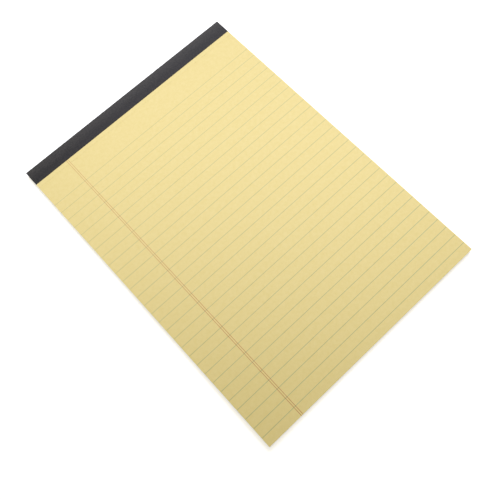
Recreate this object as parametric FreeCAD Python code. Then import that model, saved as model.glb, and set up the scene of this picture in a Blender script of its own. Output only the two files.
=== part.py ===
# Ruled writing pad with a taped head, lying face up on its backing board.
# Fifty ruled sheets and a chipboard backing are stitched together near the head by formed wire staples.
# A strip of black binding tape is glued over the head: front flap, head face and back flap.
# Below the tape every sheet is perforated, so that it tears off and leaves a stub under the tape.
#
# Frame, in millimetres: +X to the reader's right, +Y towards the bound head, +Z out of the written face.
# The origin is the centre of the pad's underside.
import FreeCAD
import Part
import math
import os

# Sheets: 8.5 by 11.75 inches, trimmed together with the board
sheet_width = 215.9
sheet_length = 298.45
sheet_count = 50
sheet_thickness = 0.1

# Chipboard backing
board_thickness = 0.8

# The binding press rounds the head's two long edges a little
front_head_radius = 0.8
back_head_radius = 0.4

# Binding tape, cut from a roll 1.75 inches wide. The back flap takes what the front flap and the head leave.
# Its flaps are rolled on hard enough to press a shallow seat into the top sheets and the board.
tape_width = 44.45
tape_thickness = 0.18
tape_seat = 0.03
front_flap = 15.1

# Perforation: ten knife cuts to the inch, three quarters of an inch below the head of the sheets
perforation_setback = 19.05
slit_length = 1.9
slit_width = 0.12
slit_tie = 0.64

# Staples of flat stitching wire, under the tape.
# Crown and clinch are measured from the wire's axis in the legs.
staple_count = 3
staple_crown = 14.0
staple_setback = 6.5
staple_clinch = 4.6
wire_width = 0.65
wire_thickness = 0.45
wire_inside_bend = 0.3

# Room round the wire, and how far crown and clinched ends lie below the surface that the tape covers
wire_clearance = 0.03
wire_sink = 0.05

# How far a cutting shape reaches past what it cuts
cut_past = 1.0

# Levels up the pad. The two flap levels are the bottoms of the seats that the tape presses.
board_bottom = tape_thickness - tape_seat
back_flap_level = board_bottom + tape_seat
board_top = board_bottom + board_thickness
sheets_top = board_top + sheet_count * sheet_thickness
front_flap_level = sheets_top - tape_seat

# Places along the pad
head_outer = (sheet_length + tape_thickness) / 2
head_inner = head_outer - tape_thickness
foot = head_inner - sheet_length
perforation_y = head_inner - perforation_setback
staple_y = head_inner - staple_setback

# Centres of the two bends at the head, in Y and Z
front_bend_y = head_inner - front_head_radius
front_bend_z = front_flap_level - front_head_radius
back_bend_y = head_inner - back_head_radius
back_bend_z = back_flap_level + back_head_radius

# The tape's width is used up along the middle of its thickness: flap, bend, head, bend, flap
front_flap_edge = head_outer - front_flap
front_straight = front_bend_y - front_flap_edge
head_straight = front_bend_z - back_bend_z
both_bends = math.pi / 2 * (front_head_radius + back_head_radius + tape_thickness)
back_straight = tape_width - front_straight - head_straight - both_bends
back_flap_edge = back_bend_y - back_straight

# The wire's axis: its radius in the bends, and its levels in the crown and in the clinched ends
half_wire = wire_thickness / 2
half_seat = half_wire + wire_clearance
wire_bend = wire_inside_bend + half_wire
crown_z = front_flap_level - wire_sink - half_wire
clinch_z = back_flap_level + wire_sink + half_wire


def vector(x, y, z):
    return FreeCAD.Vector(x, y, z)


def slab(bottom, top):
    """One trimmed layer of the pad: full width and length, from bottom to top."""
    corner = vector(-sheet_width / 2, foot, bottom)
    return Part.makeBox(sheet_width, sheet_length, top - bottom, corner)


def flap_seat(flap_edge, bottom, top):
    """What a flap of the tape presses in: a block from the flap's edge past the head and both sides."""
    corner = vector(-sheet_width / 2 - cut_past, flap_edge, bottom)
    length = head_inner + cut_past - flap_edge
    return Part.makeBox(sheet_width + 2 * cut_past, length, top - bottom, corner)


def round_head_edge(layer, level, radius):
    """The layer with its long head edge at that level rounded."""
    edges = [
        edge
        for edge in layer.Edges
        if all(abs(v.Y - head_inner) < 1e-6 and abs(v.Z - level) < 1e-6 for v in edge.Vertexes)
    ]
    return layer.makeFillet(radius, edges)


def staple_places():
    """Middle of each staple across the pad: each holds an equal share of the width."""
    share = sheet_width / staple_count
    return [(i - (staple_count - 1) / 2) * share for i in range(staple_count)]


def staple(middle):
    """One formed staple: the wire's section carried along the straight runs and turned round the bends."""
    clinch = staple_clinch - wire_bend
    leg = crown_z - clinch_z - 2 * wire_bend
    crown = staple_crown - 2 * wire_bend
    end = middle + staple_crown / 2 - staple_clinch
    sides = [(-1, -1), (1, -1), (1, 1), (-1, 1), (-1, -1)]
    corners = [vector(end, staple_y + wire_width / 2 * y, clinch_z + half_wire * z) for y, z in sides]
    section = Part.Face(Part.makePolygon(corners))
    heading = vector(1, 0, 0)
    pieces = []
    for run in (clinch, leg, crown, leg):
        pieces.append(section.extrude(heading * run))
        section.translate(heading * run)
        inward = vector(-heading.z, 0, heading.x)
        pivot = section.CenterOfMass + inward * wire_bend
        pieces.append(section.revolve(pivot, vector(0, -1, 0), 90))
        section.rotate(pivot, vector(0, -1, 0), 90)
        heading = inward
    pieces.append(section.extrude(heading * clinch))
    return pieces[0].fuse(pieces[1:]).removeSplitter()


def across_staple(middle, half_span, bottom, top):
    """A block as wide as the wire's seat, reaching half_span either side of a staple's middle."""
    width = wire_width + 2 * wire_clearance
    corner = vector(middle - half_span, staple_y - width / 2, bottom)
    return Part.makeBox(2 * half_span, width, top - bottom, corner)


def staple_seat(middle):
    """What one staple presses out of the pad: a slot as wide as the wire, less what its legs clasp."""
    half_crown = staple_crown / 2
    half_between_ends = half_crown - staple_clinch - wire_clearance
    below = board_bottom - cut_past
    slot = across_staple(middle, half_crown + half_seat, below, sheets_top + cut_past)
    clasped = across_staple(middle, half_crown - half_seat, clinch_z + half_seat, crown_z - half_seat)
    corners = [edge for edge in clasped.Edges if abs(edge.tangentAt(edge.FirstParameter).y) > 0.5]
    clasped = clasped.makeFillet(wire_inside_bend - wire_clearance, corners)
    between_ends = across_staple(middle, half_between_ends, below, crown_z - wire_bend)
    return slot.cut([clasped, between_ends])


def perforation():
    """The row of slits across the sheets, centred, with at least half a tie of paper left at each side."""
    pitch = slit_length + slit_tie
    count = int(sheet_width / pitch + 1e-9)
    depth = sheets_top - board_top + 2 * cut_past
    slits = []
    for i in range(count):
        middle = (i - (count - 1) / 2) * pitch
        corner = vector(middle - slit_length / 2, perforation_y - slit_width / 2, board_top - cut_past)
        slits.append(Part.makeBox(slit_length, slit_width, depth, corner))
    return slits


def ruled_sheets():
    """The block of sheets: pressed in under the front flap, perforated, and holed by the staples."""
    seat = flap_seat(front_flap_edge, front_flap_level, sheets_top + cut_past)
    block = slab(board_top, sheets_top).cut(seat)
    block = round_head_edge(block, front_flap_level, front_head_radius)
    return block.cut([staple_seat(x) for x in staple_places()] + perforation())


def backing_board():
    """The chipboard, flush with the sheets all round and pressed in under the back flap."""
    seat = flap_seat(back_flap_edge, board_bottom - cut_past, back_flap_level)
    board = slab(board_bottom, board_top).cut(seat)
    board = round_head_edge(board, back_flap_level, back_head_radius)
    return board.cut([staple_seat(x) for x in staple_places()])


def staples():
    """The staples as separate solids."""
    return Part.makeCompound([staple(x) for x in staple_places()])


def section_line(y0, z0, y1, z1):
    """A straight stretch of the tape's section, in the plane of the pad's left side."""
    left = -sheet_width / 2
    return Part.LineSegment(vector(left, y0, z0), vector(left, y1, z1)).toShape()


def section_bend(centre_y, centre_z, radius, start_degrees):
    """A quarter turn of the tape's section, clockwise from that angle off +Y."""
    points = []
    for degrees in (start_degrees, start_degrees - 45, start_degrees - 90):
        angle = math.radians(degrees)
        y = centre_y + radius * math.cos(angle)
        z = centre_z + radius * math.sin(angle)
        points.append(vector(-sheet_width / 2, y, z))
    return Part.Arc(*points).toShape()


def tape_fold(offset):
    """The fold from the front flap's edge to the back flap's, at that distance off the pad's own surface."""
    front_z = front_flap_level + offset
    head_y = head_inner + offset
    back_z = back_flap_level - offset
    return [
        section_line(front_flap_edge, front_z, front_bend_y, front_z),
        section_bend(front_bend_y, front_bend_z, front_head_radius + offset, 90),
        section_line(head_y, front_bend_z, head_y, back_bend_z),
        section_bend(back_bend_y, back_bend_z, back_head_radius + offset, 0),
        section_line(back_bend_y, back_z, back_flap_edge, back_z),
    ]


def binding_tape():
    """The tape folded round the head: its section, closed at both cut edges, carried across the width."""
    front_cut = section_line(
        front_flap_edge, front_flap_level, front_flap_edge, front_flap_level + tape_thickness
    )
    back_cut = section_line(back_flap_edge, back_flap_level, back_flap_edge, back_flap_level - tape_thickness)
    edges = tape_fold(0) + tape_fold(tape_thickness) + [front_cut, back_cut]
    section = Part.Wire(Part.__sortEdges__(edges))
    return Part.Face(section).extrude(vector(sheet_width, 0, 0))


parts = {
    "ruled_sheets": ruled_sheets(),
    "backing_board": backing_board(),
    "binding_tape": binding_tape(),
    "staples": staples(),
}

os.makedirs("parts", exist_ok=True)
for name, shape in parts.items():
    shape.exportStep(f"parts/{name}.step")
    box = shape.BoundBox
    print(
        f"{name}: {len(shape.Solids)} solid, valid {shape.isValid()}, {shape.Volume:.1f} mm3,"
        f" z {box.ZMin:.2f} to {box.ZMax:.2f}, y {box.YMin:.2f} to {box.YMax:.2f}"
    )
print(f"back flap reaches {head_outer - back_flap_edge:.2f} mm from the head")
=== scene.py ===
# %% [markdown]
# # A ruled legal pad
# A legal pad is the plainest bound book there is: fifty yellow sheets and a chipboard back, stitched
# with wire near the head, with a strip of black tape folded over the stitches. Below the tape the
# sheets are perforated, so that each tears off clean. These cells dress the measured model of such a
# pad: they print the rules, fold the tape, let the top sheets lie like paper, and light it for a
# photograph. First the measured model is loaded. It never moves: everything new is built around it.

# %% Load the measured model
import math

import bpy
import numpy as np
from mathutils import Matrix, Vector


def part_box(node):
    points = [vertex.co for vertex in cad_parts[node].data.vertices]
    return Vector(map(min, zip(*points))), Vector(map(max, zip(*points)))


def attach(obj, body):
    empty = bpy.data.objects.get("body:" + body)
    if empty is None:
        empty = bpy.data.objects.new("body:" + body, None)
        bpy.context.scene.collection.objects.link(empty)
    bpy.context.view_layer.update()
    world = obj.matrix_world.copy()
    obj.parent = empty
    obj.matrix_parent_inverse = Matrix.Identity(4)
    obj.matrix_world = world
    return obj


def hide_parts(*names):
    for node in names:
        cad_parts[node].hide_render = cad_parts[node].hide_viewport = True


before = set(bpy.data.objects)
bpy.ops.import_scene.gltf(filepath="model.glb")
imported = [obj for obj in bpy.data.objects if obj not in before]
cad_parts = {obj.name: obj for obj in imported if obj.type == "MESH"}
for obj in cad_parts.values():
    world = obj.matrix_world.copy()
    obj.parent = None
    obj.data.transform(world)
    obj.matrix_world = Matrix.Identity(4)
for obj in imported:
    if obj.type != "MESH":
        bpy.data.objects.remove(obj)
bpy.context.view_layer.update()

# %% [markdown]
# ## The pad's own measures
# Blender works in metres, but a stationer thinks in millimetres, so shapes are worked out in
# millimetres and only turned to metres when they become a mesh. What the measured model can say, its
# outline and levels, is read from it. What lies inside a node, such as the number of sheets or where
# the knife perforates, is named here once.

# %% Measures in millimetres
MM = 0.001


def box_mm(node):
    """Lowest and highest corner of a node, in millimetres."""
    return [np.array(corner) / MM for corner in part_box(node)]


(left, foot, block_bottom), (right, head, block_top) = box_mm("ruled_sheets")
tape_low, tape_high = box_mm("binding_tape")
width = right - left
length = head - foot

# A sheet fills most of its pitch. The air above it keeps two faces from lying in one plane.
sheet_count = 50
sheet_pitch = (block_top - block_bottom) / sheet_count
filled_share = 0.92
sheet_thickness = filled_share * sheet_pitch

# The front flap is measured from the outside of the fold
front_flap = 15.1
front_flap_edge = tape_high[1] - front_flap
back_flap_edge = tape_low[1]
tape_thickness = tape_high[1] - head
flap_level = tape_high[2] - tape_thickness
back_level = tape_low[2] + tape_thickness
front_head_radius = 0.8
back_head_radius = 0.4

perforation_setback = 19.05
slit_length = 1.9
slit_width = 0.12
slit_tie = 0.64

# A staple's crown is measured between the middles of its legs
staple_count = 3
staple_setback = 6.5
staple_crown = 14.0
wire_width = 0.65
wire_thickness = 0.45
wire_room = 0.03
wire_sink = 0.05
staple_y = head - staple_setback
staple_middles = width / staple_count * (np.arange(staple_count) - (staple_count - 1) / 2)

print(f"sheets {width:.2f} by {length:.2f} mm, {sheet_pitch:.3f} mm apart; tape {tape_thickness:.2f} mm")

# %% [markdown]
# ## Colour and nodes
# Colours are written as a designer reads them off a swatch, in sRGB hex. A renderer adds light, so it
# needs them linear: one function does that. A second small function adds a shader node with its
# settings and its links, which keeps each material below short enough to read as a recipe. Most real
# surfaces are clouded between two tones, whether by fibres, by a knife or by wear, so that mixture has
# a function too.

# %% Helpers for materials
def linear(hex_colour):
    """sRGB hex to linear RGBA: c / 12.92 in the darks, ((c + 0.055) / 1.055) ** 2.4 above."""
    srgb = np.array([int(hex_colour[i : i + 2], 16) for i in (1, 3, 5)]) / 255
    rgb = np.where(srgb <= 0.04045, srgb / 12.92, ((srgb + 0.055) / 1.055) ** 2.4)
    return (*rgb.tolist(), 1.0)


def fill_in(tree, node, settings, links):
    """Settings and links of a node. A setting is one of its properties, or the value of one of its inputs.

    A link gives an input the output of another node, or its first output where only the node is named."""
    for key, value in settings.items():
        if isinstance(key, str) and hasattr(node, key):
            setattr(node, key, value)
        else:
            node.inputs[key].default_value = value
    for key, source in links.items():
        output = source.outputs[0] if isinstance(source, bpy.types.Node) else source
        tree.links.new(output, node.inputs[key])


def add(tree, kind, settings=None, links=None):
    """A new node of that kind, filled in."""
    node = tree.nodes.new(kind)
    fill_in(tree, node, settings or {}, links or {})
    return node


def new_material(name):
    """An empty node material with its Principled shader, which the recipes below fill in."""
    print("mixing", name)
    material = bpy.data.materials.new(name)
    material.use_nodes = True
    tree = material.node_tree
    return material, tree, tree.nodes["Principled BSDF"]


def millimetres(tree, origin=(0, 0, 0)):
    """Object coordinates counted in millimetres: divided by MM, less origin."""
    place = add(tree, "ShaderNodeTexCoord")
    settings = {"Scale": (1 / MM,) * 3, "Location": [-v for v in origin]}
    return add(tree, "ShaderNodeMapping", settings, {"Vector": place.outputs["Object"]})


def clouded(tree, noise, darker, lighter, spread):
    """Two tones mixed by a noise: the darker up to 0.5 - spread, the lighter from 0.5 + spread on."""
    ramp = add(tree, "ShaderNodeValToRGB", {}, {"Fac": noise})
    tones = ((0.5 - spread, darker), (0.5 + spread, lighter))
    for stop, (position, tone) in zip(ramp.color_ramp.elements, tones):
        stop.position = position
        stop.color = linear(tone)
    return ramp


print("mid grey, #808080, is", [round(c, 3) for c in linear("#808080")[:3]], "in linear light")

# %% [markdown]
# ## Canary writing paper, with its print
# The sheet is uncoated 60 g writing paper, dyed canary in the pulp. Uncoated means no gloss: light
# sinks in and comes back soft, so roughness is high and the highlight is a faint sheen. Held to the
# light such paper is cloudy, because the fibres settle in flocks a few millimetres across. That gives
# the colour a faint mottle, and the felt leaves a tooth that shows only as bump.
#
# The print could be an image, but lines are easier to get right as distances. A point is inked where
# it lies within half a line's width of the nearest rule, so the shader measures that distance in
# millimetres. Ink doesn't cover the paper, it tints it, so the line is multiplied over the yellow:
# that is why a pale blue rule looks grey-green on a legal pad, and why crossings look darker.

# %% The ruling, in millimetres from the head and the left edge
first_rule = 40.7
rule_pitch = 8.92
rule_count = 29
rule_width = 0.4
margin_middle = 32.7
margin_gap = 1.6
margin_width = 0.35

# Ink feathers along the fibres: its edge is soft, and it wanders by a few hundredths of a millimetre
feather = 0.15
wander = 0.06
fibre_size = 0.35
print(f"{rule_count} rules, the last {first_rule + (rule_count - 1) * rule_pitch:.1f} mm below the head")


# %% Helpers: how far a point lies from the print
def from_rules(tree, y):
    """Distance from the nearest rule: |d - pitch * n|, where d = -y - first_rule and n = d / pitch, rounded.

    y is 0 at the head and falls towards the foot. n is kept between 0 and the number of the last rule."""
    down = add(tree, "ShaderNodeMath", {"operation": "MULTIPLY_ADD", 1: -1.0, 2: -first_rule}, {0: y})
    pitches = add(tree, "ShaderNodeMath", {"operation": "DIVIDE", 1: rule_pitch}, {0: down})
    nearest = add(tree, "ShaderNodeMath", {"operation": "ROUND"}, {0: pitches})
    number = add(tree, "ShaderNodeClamp", {"Min": 0.0, "Max": rule_count - 1.0}, {"Value": nearest})
    past = add(tree, "ShaderNodeMath", {"operation": "MULTIPLY_ADD", 1: -rule_pitch}, {0: number, 2: down})
    return add(tree, "ShaderNodeMath", {"operation": "ABSOLUTE"}, {0: past})


def from_margin(tree, x):
    """Distance from the nearer margin line: ||x - middle| - half the gap|."""
    across = add(tree, "ShaderNodeMath", {"operation": "SUBTRACT", 1: margin_middle}, {0: x})
    aside = add(tree, "ShaderNodeMath", {"operation": "ABSOLUTE"}, {0: across})
    past = add(tree, "ShaderNodeMath", {"operation": "SUBTRACT", 1: margin_gap / 2}, {0: aside})
    return add(tree, "ShaderNodeMath", {"operation": "ABSOLUTE"}, {0: past})


def line_mask(tree, distance, fibres, line_width):
    """1 inside a line and 0 outside, for a distance from its middle: an S curve across the feathered edge."""
    shift = {"operation": "MULTIPLY_ADD", 1: wander, 2: -wander / 2}
    wandering = add(tree, "ShaderNodeMath", shift, {0: fibres})
    edge = add(tree, "ShaderNodeMath", {"operation": "ADD"}, {0: distance, 1: wandering})
    outside, inside = line_width / 2 + feather, line_width / 2 - feather
    s_curve = {"interpolation_type": "SMOOTHSTEP", "From Min": outside, "From Max": inside}
    return add(tree, "ShaderNodeMapRange", s_curve, {"Value": edge})


# %% Printed paper material
# Flocks of fibre are 2 to 5 mm across. The felt's marks are about a quarter of a millimetre wide, drawn
# twice as coarse so that they show.
flock_size = 3.2
felt_mark = 0.5
patch_size = 14.0


def printed_paper():
    """Canary paper with the rules and the double margin line.

    The ink's weight grows from the head to the foot. This is painted light: the rules fade towards the head,
    nearer the lamp, where its bright light washes them out. A slow noise adds to the weight."""
    material, tree, shader = new_material("canary_writing_paper_printed")
    place = millimetres(tree, (left, head, 0))
    axes = add(tree, "ShaderNodeSeparateXYZ", {}, {"Vector": place})

    fluffy = {"Scale": 1 / flock_size, "Detail": 6.0, "Roughness": 0.78}
    flocks = add(tree, "ShaderNodeTexNoise", fluffy, {0: place})
    pulp = clouded(tree, flocks, "#f0dd92", "#f7e5a0", 0.2)

    fibres = add(tree, "ShaderNodeTexNoise", {"Scale": 1 / fibre_size, "Detail": 2.0}, {0: place})
    rules = line_mask(tree, from_rules(tree, axes.outputs["Y"]), fibres, rule_width)
    margin = line_mask(tree, from_margin(tree, axes.outputs["X"]), fibres, margin_width)

    # Painted light: the rules are inked fainter towards the head, where the lamp's light is brightest, for
    # that light washing them out
    head_to_foot = {"From Min": 0.0, "From Max": -length, "To Min": 0.38, "To Max": 0.9}
    painted_glare_fade = add(tree, "ShaderNodeMapRange", head_to_foot, {"Value": axes.outputs["Y"]})
    uneven = add(tree, "ShaderNodeTexNoise", {"Scale": 1 / patch_size, "Detail": 3.0}, {0: place})
    weight = add(tree, "ShaderNodeMath", {"operation": "MULTIPLY_ADD", 1: 0.25}, {0: uneven, 2: painted_glare_fade})

    colour = pulp.outputs["Color"]
    for mask, ink in ((rules, "#c1d5e2"), (margin, "#c8765a")):
        inked = add(tree, "ShaderNodeMath", {"operation": "MULTIPLY"}, {0: mask, 1: weight})
        over = {"data_type": "RGBA", "blend_type": "MULTIPLY", 7: linear(ink)}
        colour = add(tree, "ShaderNodeMix", over, {0: inked, 6: colour}).outputs[2]

    felted = {"Scale": 1 / felt_mark, "Detail": 4.0, "Roughness": 0.7}
    tooth = add(tree, "ShaderNodeTexNoise", felted, {0: place})
    bump = add(tree, "ShaderNodeBump", {"Strength": 0.25, "Distance": 0.02 * MM}, {"Height": tooth})
    sheen = {"Roughness": 0.6, "Specular IOR Level": 0.3}
    fill_in(tree, shader, sheen, {"Base Color": colour, "Normal": bump})
    return material


paper_printed = printed_paper()

# %% [markdown]
# ## The cut edges of the block
# A guillotine shears the whole block at once, so its sides read as fine layers: each sheet takes the
# knife a little differently, and some stand out lighter. At a tenth of a millimetre a sheet is far too
# thin to show singly in a picture of the whole pad, so the layers are drawn about four sheets thick,
# as noise stretched along the cut.

# %% Page edge material
strand_length = 60.0
layer_height = 0.4


def page_edges():
    """Canary paper seen edge on: noise with long strands along X and Y and fine steps up Z."""
    material, tree, shader = new_material("canary_paper_cut_edges")
    stretch = {"Scale": (1 / strand_length, 1 / strand_length, 1 / layer_height)}
    strands = add(tree, "ShaderNodeMapping", stretch, {"Vector": millimetres(tree)})
    layers = add(tree, "ShaderNodeTexNoise", {"Scale": 1.0, "Detail": 5.0, "Roughness": 0.65}, {0: strands})
    cut = clouded(tree, layers, "#dfc882", "#f6e6ab", 0.18)
    bump = add(tree, "ShaderNodeBump", {"Strength": 0.4, "Distance": 0.05 * MM}, {"Height": layers})
    dull = {"Roughness": 0.9, "Specular IOR Level": 0.25}
    fill_in(tree, shader, dull, {"Base Color": cut, "Normal": bump})
    return material


paper_edges = page_edges()

# %% [markdown]
# ## Black binding tape
# The tape is kraft paper coated black and embossed with a fine leather grain, gummed on the back. The
# coating gives it a dull sheen, so in soft light it reads as charcoal, not black. A slower mottle
# shows where the gum has drawn the paper. Towards the fold the coating is painted a lighter grey: a
# painted highlight, for the light that the rounded fold catches.

# %% Tape materials
# The grain's cells are about a third of a millimetre wide, drawn twice as coarse so that they show
grain_size = 0.7
mottle_size = 1.4
# How far below the head the painted highlight of the fold reaches
highlight_length = 10.0


def coated_tape():
    """Charcoal coating with a pebbled grain and an uneven sheen.

    It is painted greyer towards the head, a painted highlight for the light that the fold catches:
    strongest at the head and gone the highlight's length below it, in patches that the mottle sets."""
    material, tree, shader = new_material("black_coated_binding_paper")
    place = millimetres(tree)
    axes = add(tree, "ShaderNodeSeparateXYZ", {}, {"Vector": place})
    cloudy = {"Scale": 1 / mottle_size, "Detail": 4.0, "Roughness": 0.9}
    mottle = add(tree, "ShaderNodeTexNoise", cloudy, {0: place})
    coating = clouded(tree, mottle, "#050403", "#282421", 0.1)

    # Painted highlight: near the head the coating is mixed, in patches, with a lighter grey for the light
    # that the rounded fold catches
    to_head = {"From Min": head - highlight_length, "From Max": head, "To Max": 0.7}
    fold = add(tree, "ShaderNodeMapRange", to_head, {"Value": axes.outputs["Y"]})
    patchy = {"From Min": 0.35, "From Max": 0.65, "To Min": 0.55, "To Max": 1.45}
    patches = add(tree, "ShaderNodeMapRange", patchy, {"Value": mottle})
    fold_highlight = add(tree, "ShaderNodeMath", {"operation": "MULTIPLY"}, {0: fold, 1: patches})
    highlight_grey = {"data_type": "RGBA", 7: linear("#42403c")}
    face_dress = add(tree, "ShaderNodeMix", highlight_grey, {0: fold_highlight, 6: coating})

    sheen = add(tree, "ShaderNodeMapRange", {"To Min": 0.42, "To Max": 0.54}, {"Value": mottle})
    pebbles = {"feature": "SMOOTH_F1", "Scale": 1 / grain_size, "Smoothness": 0.6}
    grain = add(tree, "ShaderNodeTexVoronoi", pebbles, {0: place})
    bump = add(tree, "ShaderNodeBump", {"Strength": 0.6, "Distance": 0.06 * MM}, {"Height": grain})
    dressed = {"Base Color": face_dress.outputs[2], "Roughness": sheen, "Normal": bump}
    fill_in(tree, shader, {"Specular IOR Level": 0.21}, dressed)
    return material


def tape_core():
    """What the knife lays bare at the tape's cut edges: the brown-grey kraft paper under the coating."""
    material, tree, shader = new_material("kraft_core_of_the_tape")
    fill_in(tree, shader, {"Base Color": linear("#4f463d"), "Roughness": 0.9}, {})
    return material


tape_coating = coated_tape()
tape_cut = tape_core()

# %% [markdown]
# ## Chipboard and stitching wire
# Chipboard is pressed from waste paper, so it is grey-brown and full of short flecks of whatever was
# in the pulp, light and dark. Two noises make it: a slow one for the cloudy ground and a fast one,
# cut off high and low, for the flecks. The wire is bright zinc on steel: it lies under the tape, but
# the measured model has it, so it gets its metal too.

# %% Chipboard and wire materials
cloud_size = 9.0
fleck_size = 1.1

# The die's scratches are far finer than the wire is wide, and are drawn as coarse as a render shows them
scratch_size = 0.2


def chipboard():
    """Grey-brown board: cloudy ground, with dark flecks and light fibres about a millimetre long."""
    material, tree, shader = new_material("grey_brown_chipboard")
    place = millimetres(tree)
    cloudy = {"Scale": 1 / cloud_size, "Detail": 6.0, "Roughness": 0.7}
    ground = add(tree, "ShaderNodeTexNoise", cloudy, {0: place})
    flecks = add(tree, "ShaderNodeTexNoise", {"Scale": 1 / fleck_size, "Detail": 2.0}, {0: place})
    colour = clouded(tree, ground, "#8f8371", "#a29581", 0.2).outputs["Color"]
    for start, full, fleck in ((0.64, 0.7, "#5f5547"), (0.36, 0.3, "#c3b8a2")):
        cut_off = {"From Min": start, "From Max": full, "To Max": 0.7}
        mask = add(tree, "ShaderNodeMapRange", cut_off, {"Value": flecks})
        over = {"data_type": "RGBA", 7: linear(fleck)}
        colour = add(tree, "ShaderNodeMix", over, {0: mask, 6: colour}).outputs[2]
    bump = add(tree, "ShaderNodeBump", {"Strength": 0.3, "Distance": 0.04 * MM}, {"Height": ground})
    dull = {"Roughness": 0.88, "Specular IOR Level": 0.3}
    fill_in(tree, shader, dull, {"Base Color": colour, "Normal": bump})
    return material


def zinc_wire():
    """Drawn and zinc-coated steel: the die's fine scratches vary its roughness."""
    material, tree, shader = new_material("zinc_coated_steel_wire")
    place = millimetres(tree)
    drawn = add(tree, "ShaderNodeTexNoise", {"Scale": 1 / scratch_size, "Detail": 2.0}, {0: place})
    rough = add(tree, "ShaderNodeMapRange", {"To Min": 0.28, "To Max": 0.42}, {"Value": drawn})
    fill_in(tree, shader, {"Base Color": linear("#c3c6c9"), "Metallic": 1.0}, {"Roughness": rough})
    return material


for node, material in (("backing_board", chipboard()), ("staples", zinc_wire())):
    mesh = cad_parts[node].data
    mesh.materials.clear()
    mesh.materials.append(material)
    print(node, "keeps its measured shape, in", material.name)


# %% [markdown]
# ## A sheet of paper as a punched grid
# A sheet is a thin closed body with holes in it: slits where it tears off, and slots where the staples
# pass. Cutting holes with booleans leaves ragged meshes. Instead the sheet is laid out on a grid whose
# lines run along every hole's edges, and a table says which cells are paper. Each paper cell gives one
# face above and one below, and wherever paper borders on nothing a wall joins the two. Holes then cost
# nothing, and the body is closed by construction.

# %% Helper: a closed sheet from a table of cells
def punched_sheet(is_paper):
    """Faces of a sheet, and their kinds: 0 for upper faces, 1 for lower ones and 2 for walls.

    The table has a row for each step along X and a column for each step along Y. Corner j of grid line i
    has the number i * rows + j, rows being one more than the table's columns. The lower corners follow.
    A cell's face runs counter-clockwise seen from above, and a wall stands under each of its four sides
    that has no paper beyond it."""
    lines, rows = is_paper.shape[0] + 1, is_paper.shape[1] + 1
    corner = np.arange(lines * rows).reshape(lines, rows)
    cells = np.stack([corner[:-1, :-1], corner[1:, :-1], corner[1:, 1:], corner[:-1, 1:]], axis=-1)
    beyond = np.pad(is_paper, 1)
    neighbours = [beyond[1:-1, :-2], beyond[2:, 1:-1], beyond[1:-1, 2:], beyond[:-2, 1:-1]]
    upper = cells[is_paper]
    walls = []
    for side, neighbour in enumerate(neighbours):
        bare = cells[is_paper & ~neighbour]
        a = bare[:, side]
        b = bare[:, (side + 1) % 4]
        walls.append(np.stack([b, a, a + corner.size, b + corner.size], axis=-1))
    walls = np.concatenate(walls)
    faces = np.concatenate([upper, upper[:, ::-1] + corner.size, walls])
    return faces, np.repeat([0, 1, 2], [len(upper), len(upper), len(walls)])


ring, _ = punched_sheet(np.array([[1, 1, 1], [1, 0, 1], [1, 1, 1]], bool))
print("a sheet of 3 by 3 cells with a hole in the middle has", len(ring), "faces")


# %% Helper: lay a grid out along the edges of holes
def grid_lines(*groups):
    """All the given lines in order, with those closer than a hundredth of a millimetre taken once."""
    lines = np.sort(np.concatenate([np.ravel(g) for g in groups]))
    return lines[np.concatenate([[True], np.diff(lines) > 0.01])]


def in_spans(lines, spans):
    """Whether the middle between each two lines lies in any of the spans, given as rows of low and high."""
    middles = (lines[1:, None] + lines[:-1, None]) / 2
    low, high = np.reshape(spans, (-1, 2)).T
    return ((middles > low) & (middles < high)).any(axis=1)


def punched_grid(columns, rows, holes):
    """Grid lines along X and Y and the table of paper cells, of a sheet with those columns, rows and holes.

    Holes come in rows: a row is its spans along X and the one band along Y that they share."""
    xs = grid_lines([left, right], columns, *[spans for spans, band in holes])
    ys = grid_lines([foot, head], rows, *[band for spans, band in holes])
    is_paper = np.ones((len(xs) - 1, len(ys) - 1), bool)
    for spans, band in holes:
        is_paper &= ~np.outer(in_spans(xs, spans), in_spans(ys, band))
    return xs, ys, is_paper


# %% [markdown]
# ## Where the holes are
# The staple machine drives its flat wire through the block, so every sheet has a slot round each leg.
# The crown is pressed a little into the paper, so the sheets that it sinks through have one slot as
# long as the crown. The slits of the perforation are a knife's: ten to the inch, with a tie of paper
# left between each two.

# %% Holes of the sheets
def spans_round(middles, half):
    """A span from half below each middle to half above it, a row each."""
    return np.stack([middles - half, middles + half], axis=-1)


half_seat = wire_thickness / 2 + wire_room
leg_middles = np.add.outer(staple_middles, staple_crown / 2 * np.array([-1.0, 1.0])).ravel()
staple_band = staple_y + (wire_width / 2 + wire_room) * np.array([-1.0, 1.0])
leg_holes = (spans_round(leg_middles, half_seat), staple_band)
crown_holes = (spans_round(staple_middles, staple_crown / 2 + half_seat), staple_band)
crown_bottom = flap_level - wire_sink - wire_thickness - wire_room

slit_pitch = slit_length + slit_tie
slit_count = int(width / slit_pitch + 1e-3)
slit_middles = (np.arange(slit_count) - (slit_count - 1) / 2) * slit_pitch
slit_band = head - perforation_setback + slit_width / 2 * np.array([-1.0, 1.0])
slits = (spans_round(slit_middles, slit_length / 2), slit_band)
print(f"{slit_count} slits; the crowns reach {block_top - crown_bottom:.2f} mm down into the block")

# %% [markdown]
# ## How paper lies
# A stack of paper is flat where the binding holds it and freer towards the foot. The lower sheets are
# pressed by the ones above; the top ones keep a slight curl at the two free corners and a slow cockle
# that damp air gives them. A tenth of a millimetre is enough: it catches the light, it stays below the
# tape's own thickness, and it has to fade to nothing at the tape. Sheets also slip a little on each
# other after trimming: each one turns about its stitches, so the foot fans by up to a tenth of a
# millimetre.

# %% How a sheet lifts, and where it ends, in millimetres
corner_curl = 0.11
curl_width = 45.0
curl_length = 60.0
right_share = 0.7
cockle_height = 0.018
cockle_across = 31.0
cockle_along = 43.0
free_below_tape = 8.0
free_run = 80.0


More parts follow.
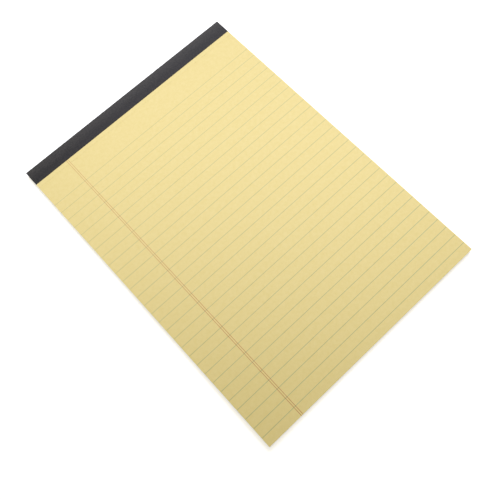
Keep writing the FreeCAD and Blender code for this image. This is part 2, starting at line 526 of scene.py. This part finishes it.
def lie(x, y, depth):
    """How far a sheet lifts at x, y. depth is 0 for the top sheet and 1 for the lowest.

    Curl: a bell, exp(-d**2), round each foot corner. Cockle: the product of a sine wave across and one
    along, shifted so that no crest lies on the middle. Both fade with the fourth power of the sheet's
    height in the stack, and along an S curve, t * t * (3 - 2 * t), to 0 just below the tape."""
    up_sheet = ((y - foot) / curl_length) ** 2
    curl = np.exp(-(((x - left) / curl_width) ** 2) - up_sheet)
    curl = curl + right_share * np.exp(-(((x - right) / curl_width) ** 2) - up_sheet)
    waves = 1 + np.sin(x / cockle_across + 0.8) * np.sin(y / cockle_along + 0.4)
    free = np.clip((front_flap_edge - free_below_tape - y) / free_run, 0, 1)
    free = free * free * (3 - 2 * free)
    return (1 - depth) ** 4 * free * (corner_curl * curl + cockle_height * waves)


def head_at(level):
    """Where the block's head is at a level: straight, then a quarter round at the front edge."""
    over = np.clip(level - (flap_level - front_head_radius), 0, front_head_radius)
    return head - front_head_radius + np.sqrt(front_head_radius**2 - over**2)


print(f"the top sheet's free corners lift {lie(left, foot, 0):.2f} and {lie(right, foot, 0):.2f} mm")

# %% Bodies of the sheets
fan_spread = 0.05
fan_most = 0.1
press_run = 0.5


def sheet_bodies(numbers, xs, ys, is_paper):
    """Vertices, faces and kinds of face of the sheets with those numbers, counted up from the board.

    All share one punched grid. A sheet's upper face lies at its level plus its lift, its lower face one
    thickness below, and its head follows the rounding of the block. What lies under the flap is pressed
    down to the flap's level. Every sheet but the top one slips sideways, as far as its stitches are away
    times a random slope."""
    faces, kind = punched_sheet(is_paper)
    levels = block_bottom + (np.array(numbers)[:, None, None] + 1) * sheet_pitch
    depth = 1 - levels / block_top
    x, y = np.meshgrid(xs, ys, indexing="ij")

    lift = lie(x, y, depth)
    pressed = np.clip((y - front_flap_edge) / press_run, 0, 1) * (block_top - flap_level)
    top = np.minimum(levels - sheet_pitch + sheet_thickness, block_top - pressed) + lift

    near_head = np.clip((y - staple_band[1]) / (head - staple_band[1]), 0, 1)
    fanned = np.random.default_rng(11).normal(0, fan_spread, levels.shape).clip(-fan_most, fan_most)
    slip = fanned * (depth > 0.01) * np.clip((staple_y - y) / length, 0, 1)
    x, y = x + slip, y + near_head * (head_at(levels) - head)

    upper = np.stack([x, y, top], axis=-1).reshape(len(numbers), -1, 3)
    points = np.concatenate([upper, upper - [0, 0, sheet_thickness]], axis=1)
    step = points.shape[1] * np.arange(len(numbers))[:, None, None]
    return points.reshape(-1, 3), (faces + step).reshape(-1, 4), np.tile(kind, len(numbers))


# %% Helper: hand a finished piece to the scene
def finish_piece(name, points, faces, materials, node, face_dress=None):
    """A mesh object in metres that stands for a measured node and rides on the pad.

    worn says which of the materials each face wears, if there is more than one."""
    used, faces = np.unique(faces, return_inverse=True)
    mesh = bpy.data.meshes.new(name)
    mesh.from_pydata((points[used] * MM).tolist(), [], faces.reshape(-1, 4).tolist())
    for material in materials:
        mesh.materials.append(material)
    if face_dress is not None:
        mesh.polygons.foreach_set("material_index", face_dress.astype(np.int32))
    piece = bpy.data.objects.new(name, mesh)
    bpy.context.scene.collection.objects.link(piece)
    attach(piece, "root")
    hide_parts(node)
    low, high = points[used].min(0), points[used].max(0)
    print(f"{name}: {len(mesh.polygons)} faces, {(high - low).round(2)} mm")
    return piece


# %% [markdown]
# ## Maps for baking the print
# A renderer draws the print from distances, but a game engine needs it in an image, baked through a map.
# An unwrap that knows nothing of paper gives the hidden faces most of the room. These maps give it to
# what shows: the top sheet's printed face fills seven tenths of the square, and in a stack each sheet's
# cut edge gets a row of its own, so that the layers stay crisp. The hidden faces share a narrow strip,
# each in a small square.

# %% Helpers: lay out maps
rim = 0.005


def small_squares(count, low, high, across):
    """Corners of that many small squares, laid in rows of across from low to high, a tenth apart."""
    place = np.stack([np.arange(count) % across, np.arange(count) // across], axis=-1)
    size = (np.array(high) - low) / [across, -(-count // across)]
    corners = np.array([[0.1, 0.1], [0.9, 0.1], [0.9, 0.9], [0.1, 0.9]])
    return low + (place[:, None, :] + corners) * size


def write_map(piece, uv):
    """The map as a UV layer of the piece: a place in the square for each corner of each face."""
    layer = piece.data.uv_layers.new(name="OFBake")
    layer.data.foreach_set("uv", uv.reshape(-1, 2).astype(np.float32).ravel())


def top_sheet_map(piece, points, faces, kind):
    """The printed face to one scale in x and y. To its right lie the lower face, at a quarter of that
    scale from 0.745 on, and the walls, in squares from 0.94 on."""
    scale = (1 - 2 * rim) / length
    flat = (points[faces][..., :2] - [left, foot]) * scale
    lower_face = (kind == 1)[:, None, None]
    uv = np.where(lower_face, flat / 4 + [0.745, 0.0], flat) + rim
    walls = np.flatnonzero(kind == 2)
    uv[walls] = small_squares(len(walls), (0.94, rim), (0.99, 1 - rim), 6)
    write_map(piece, uv)
    print(f"the map has {scale * 1024:.2f} pixels to a millimetre on a 1024 pixel image")


def stack_map(piece, points, faces, kind, count):
    """Each cut edge along a row: u is the way along the edge, v the sheet's number and the edge's side.

    A wall is a cut edge if its middle is less than a millimetre inside the outline. The faces that
    nobody sees lie in squares to the right of the rows, from 0.97 on."""
    corners = points[faces]
    middle = corners.mean(axis=1)
    reach = np.stack([foot - middle[:, 1], middle[:, 0] - right, middle[:, 1] - head, left - middle[:, 0]])
    side = reach.argmax(axis=0)
    outer = (kind == 2) & (reach.max(axis=0) > -1.0)
    along_x = (side % 2 == 0)[:, None]
    along = np.where(along_x, corners[..., 0] - left, corners[..., 1] - foot)
    row = np.arange(len(faces)) // (len(faces) // count) + count * side
    height = np.array([0.9, 0.9, 0.1, 0.1])
    uv = np.stack([rim + 0.96 * along / length, (row[:, None] + height) / (4 * count)], axis=-1)
    hidden = np.flatnonzero(~outer)
    uv[hidden] = small_squares(len(hidden), (0.97, rim), (1 - rim, 1 - rim), 6)
    write_map(piece, uv)


# %% [markdown]
# ## The stack of sheets
# The sheets below the top one are built in three pieces. The lower forty are flat and need only the
# grid lines of their staple slots. The next nine begin to lie freely and get a few rows and columns to
# bend on: four of them have a slot round each leg of a staple, and five a slot as long as its crown.

# %% Build the stack
free_from = 40
bending_columns = np.linspace(left, right, 13)
bending_rows = np.linspace(foot, head, 17)
crowned_from = next(n for n in range(sheet_count) if block_bottom + (n + 1) * sheet_pitch > crown_bottom)

for name, numbers, columns, rows, holes in (
    ("lower_sheets", range(free_from), [], [], leg_holes),
    ("upper_sheets", range(free_from, crowned_from), bending_columns, bending_rows, leg_holes),
    ("crowned_sheets", range(crowned_from, sheet_count - 1), bending_columns, bending_rows, crown_holes),
):
    points, faces, kind = sheet_bodies(numbers, *punched_grid(columns, rows, [holes]))
    piece = finish_piece(name, points, faces, [paper_edges], "ruled_sheets")
    stack_map(piece, points, faces, kind, len(numbers))

# %% [markdown]
# ## The top sheet
# The top sheet alone carries the print and the open slits of the perforation: a slit is 0.12 mm wide,
# so nobody sees through it past the sheet below. Two extra rows let it bend down under the flap's edge.

# %% Build the top sheet
top_rows = [np.linspace(foot, head, 41), [front_flap_edge, front_flap_edge + press_run]]
top_grid = punched_grid([], np.concatenate(top_rows), [crown_holes, slits])
points, faces, kind = sheet_bodies([sheet_count - 1], *top_grid)
papers = [paper_printed, paper_edges]
top_sheet = finish_piece("top_sheet", points, faces, papers, "ruled_sheets", kind == 2)
top_sheet_map(top_sheet, points, faces, kind)

# %% [markdown]
# ## The tape, folded over the head
# The tape is one strip, so it is one profile carried along the pad's width. The profile is walked by
# its own length: front flap, a bend, the head, a tighter bend, back flap. Walking by length means the
# rows of the mesh stay where the tape's fibres are. Two such walks, on the pad's surface and one
# thickness off it, make the inner and outer skins; the outer one dips a few hundredths of a
# millimetre over each staple's crown, as tape does when it is rolled down hard.

# %% The tape's profile
front_points = 34
bend_points = 9
head_points = 6
back_points = 18


def evenly(start, end, count):
    """That many points along the straight line from start to end, both included."""
    return start + (end - start) * np.linspace(0, 1, count)[:, None]


def tape_profile(offset):
    """Points in Y and Z round the head, at that distance off the pad.

    A straight line along each flap and down the head, and a quarter circle, centre + radius * (cos, sin),
    at each of the two bends."""
    turn = np.radians(np.linspace(90, 0, bend_points))[:, None]
    arc = np.hstack([np.cos(turn), np.sin(turn)])
    front_centre = [head - front_head_radius, flap_level - front_head_radius]
    back_centre = [head - back_head_radius, back_level + back_head_radius]
    front = front_centre + (front_head_radius + offset) * arc
    back = back_centre + (back_head_radius + offset) * arc[::-1] * [1, -1]
    flap_end = np.array([front_flap_edge, flap_level + offset])
    back_end = np.array([back_flap_edge, back_level - offset])
    return np.concatenate(
        [
            evenly(flap_end, front[0], front_points)[:-1],
            front,
            evenly(front[-1], back[0], head_points)[1:-1],
            back,
            evenly(back[-1], back_end, back_points)[1:],
        ]
    )


def steps_along(profile):
    """Length of each step from one point of a profile to the next."""
    return np.linalg.norm(np.diff(profile, axis=0), axis=1)


print(f"along its middle the tape is {steps_along(tape_profile(tape_thickness / 2)).sum():.2f} mm wide")

# %% The tape's two skins, and its map
tape_columns = 201
dip_depth = 0.05
dip_width = 0.7


def dip(x, y):
    """How deep the tape sinks over the staples: depth * exp(-(d / width)**2), d being the way off a crown."""
    beyond_end = np.abs(x[..., None] - staple_middles).min(-1) - staple_crown / 2
    beside = np.abs(y - staple_y) - wire_width / 2
    away = np.hypot(np.maximum(beyond_end, 0), np.maximum(beside, 0))
    return dip_depth * np.exp(-((away / dip_width) ** 2))


def tape_strip():
    """Outer and inner skin joined along the four cut edges: a point for each column and profile point."""
    outer, inner = tape_profile(tape_thickness), tape_profile(0.0)
    x, row = np.meshgrid(np.linspace(left, right, tape_columns), np.arange(len(outer)), indexing="ij")
    y, z = outer[row].transpose(2, 0, 1)
    sunk = z - dip(x, y) * (z > flap_level)
    skins = [np.stack([x, y, sunk], axis=-1), np.stack([x, *inner[row].transpose(2, 0, 1)], axis=-1)]
    faces, kind = punched_sheet(np.ones((tape_columns - 1, len(outer) - 1), bool))
    return np.concatenate([skin.reshape(-1, 3) for skin in skins]), faces, kind


def tape_map(piece, points, faces, kind):
    """The strip rolled out flat: u across the pad, v the way along the profile.

    The outer skin has v up to 0.745, the inner one from 0.76 to 0.96, and the walls lie above them."""
    steps = steps_along(tape_profile(0.0))
    walked = np.concatenate([[0], np.cumsum(steps)]) / steps.sum()
    across = (points[faces][..., 0] - left) / width
    uv = np.stack([across, walked[faces % len(walked)]], axis=-1) * [1 - 2 * rim, 1]
    outer_skin = (kind == 0)[:, None, None]
    uv = np.where(outer_skin, uv * [1, 0.74], uv * [1, 0.2] + [0, 0.755]) + rim
    walls = np.flatnonzero(kind == 2)
    uv[walls] = small_squares(len(walls), (rim, 0.965), (1 - rim, 1 - rim), 135)
    write_map(piece, uv)


# %% Fold the tape
points, faces, kind = tape_strip()
tape_papers = [tape_coating, tape_cut]
tape_piece = finish_piece("tape_strip", points, faces, tape_papers, "binding_tape", kind == 2)
tape_map(tape_piece, points, faces, kind)

# The bends are smooth, and every edge that turns by more than this stays sharp
sharp_from = 35
tape_piece.data.shade_smooth()
tape_piece.data.set_sharp_from_angle(angle=math.radians(sharp_from))

# %% [markdown]
# ## Camera
# The photograph looks down on the pad from over its lower left corner, turned so that the head runs
# up to the right. A camera is aimed by its place, the point it looks at and a roll about that line.
# Its focal length comes from the picture too: near edges look longer than far ones by an amount that
# fits one lens only.

# %% Aim the camera
image_size = 500
focal_pixels = 618.0
camera_place = np.array([-103.65, -156.72, 469.95])
camera_target = np.array([-17.48, -30.76, 5.95])
picture_right = np.array([0.73379, -0.67767, -0.04801])


def aim(place, target, right_hand):
    """A camera's turn as a matrix: it looks along its -Z, with X to the picture's right and Y up."""
    back = place - target
    back /= np.linalg.norm(back)
    up = np.cross(back, right_hand)
    up /= np.linalg.norm(up)
    across = np.cross(up, back)
    return np.column_stack([across, up, back])


camera_data = bpy.data.cameras.new("camera")
camera_data.sensor_width = 36.0
camera_data.lens = focal_pixels / image_size * camera_data.sensor_width
camera = bpy.data.objects.new("camera", camera_data)
bpy.context.scene.collection.objects.link(camera)
turn = Matrix(aim(camera_place, camera_target, picture_right).tolist()).to_4x4()
camera.matrix_world = Matrix.Translation(camera_place * MM) @ turn
bpy.context.scene.camera = camera
print(f"lens {camera_data.lens:.1f} mm on a {camera_data.sensor_width:.0f} mm sensor")

# %% [markdown]
# ## Floor
# The floor is plain white. To the camera it should read as the white of a page, while it still
# catches the pad's own soft shadow. So it is a white diffuse surface with some light of its own, which
# counts only for rays that show the floor: straight from the camera, mirrored, or through something
# clear. That lifts the lit floor to white, leaves the shadow and adds no diffuse light to the pad.
# Farther off, where the lamp no longer reaches, the floor gets more of it.

# %% Helper: the rays that show what they meet
def ray_sees(tree):
    """1 for camera, glossy and transmission rays and 0 for the rest: the greatest of the three."""
    ray = add(tree, "ShaderNodeLightPath")
    seen = ray.outputs["Is Camera Ray"]
    for kind in ("Is Glossy Ray", "Is Transmission Ray"):
        seen = add(tree, "ShaderNodeMath", {"operation": "MAXIMUM"}, {0: seen, 1: ray.outputs[kind]})
    return seen


# %% Lay the floor
floor_half = 4.0
floor_level = -0.2 * MM


def white_floor():
    """Diffuse white, plus a glow to the rays that show it, which grows from 0.54 near the pad to 0.8."""
    material, tree, shader = new_material("white_floor")
    place = add(tree, "ShaderNodeTexCoord")
    away = add(tree, "ShaderNodeVectorMath", {"operation": "LENGTH"}, {0: place.outputs["Object"]})
    far = {"From Min": 0.2, "From Max": 0.5, "To Min": 0.54, "To Max": 0.8}
    glow = add(tree, "ShaderNodeMapRange", far, {"Value": away.outputs["Value"]})
    lift = add(tree, "ShaderNodeMath", {"operation": "MULTIPLY"}, {0: ray_sees(tree), 1: glow})
    white = {"Base Color": (0.92, 0.92, 0.92, 1), "Roughness": 1.0, "Specular IOR Level": 0.0}
    fill_in(tree, shader, {**white, "Emission Color": (1, 1, 1, 1)}, {"Emission Strength": lift})
    return material


sides = np.array([[-1, -1], [1, -1], [1, 1], [-1, 1]]) * floor_half
floor_mesh = bpy.data.meshes.new("floor")
floor_mesh.from_pydata([(x, y, floor_level) for x, y in sides.tolist()], [], [(0, 1, 2, 3)])
floor_mesh.materials.append(white_floor())
floor = bpy.data.objects.new("floor", floor_mesh)
bpy.context.scene.collection.objects.link(floor)
print(f"floor {2 * floor_half:.0f} m wide, {-floor_level / MM:.1f} mm below the pad's underside")

# %% [markdown]
# ## Light
# One big soft lamp stands beyond the head, to the right. A grid in front of it narrows its beam, so
# the paper is evenly bright near the lamp and falls off towards the lower left corner. It also stands
# where the tape mirrors it to the camera: that, and the white all round, turns the black tape
# charcoal. An even fill comes from the sky. It is a little warm and the lamp a little cool, so the
# paper looks paler near the lamp and a deeper yellow away from it. Like the floor, the sky is white
# to the rays that show it, and only the others get the dimmer fill.

# %% Light the pad
def lamp(name, place, target, size, power, colour, beam_degrees):
    """A square area lamp, in metres and watts, aimed at target, with a grid that narrows its beam."""
    data = bpy.data.lights.new(name, "AREA")
    data.size = size
    data.energy = power
    data.color = colour
    data.spread = math.radians(beam_degrees)
    light = bpy.data.objects.new(name, data)
    light.location = place
    light.rotation_euler = (Vector(target) - Vector(place)).to_track_quat("-Z", "Y").to_euler()
    bpy.context.scene.collection.objects.link(light)
    print(f"{name}: {power} W, {size} m wide")


def sky(colour, strength):
    """An even fill of that colour for the pad, and plain white to the rays that show the sky itself."""
    world = bpy.data.worlds.new("sky")
    world.use_nodes = True
    tree = world.node_tree
    fill = tree.nodes["Background"]
    fill_in(tree, fill, {"Color": colour, "Strength": strength}, {})
    white = add(tree, "ShaderNodeBackground", {"Color": (1, 1, 1, 1), "Strength": 1.0})
    both = add(tree, "ShaderNodeMixShader", {}, {0: ray_sees(tree), 1: fill, 2: white})
    fill_in(tree, tree.nodes["World Output"], {}, {"Surface": both})
    bpy.context.scene.world = world


lamp(
    "key",
    place=(0.31, 0.308, 0.502),
    target=(0.149, 0.158, 0),
    size=0.7,
    power=1.06,
    colour=(0.965, 0.98, 1.18),
    beam_degrees=52,
)
sky((1.0, 0.95, 0.74, 1), 0.393)
bpy.context.scene.view_settings.view_transform = "Standard"
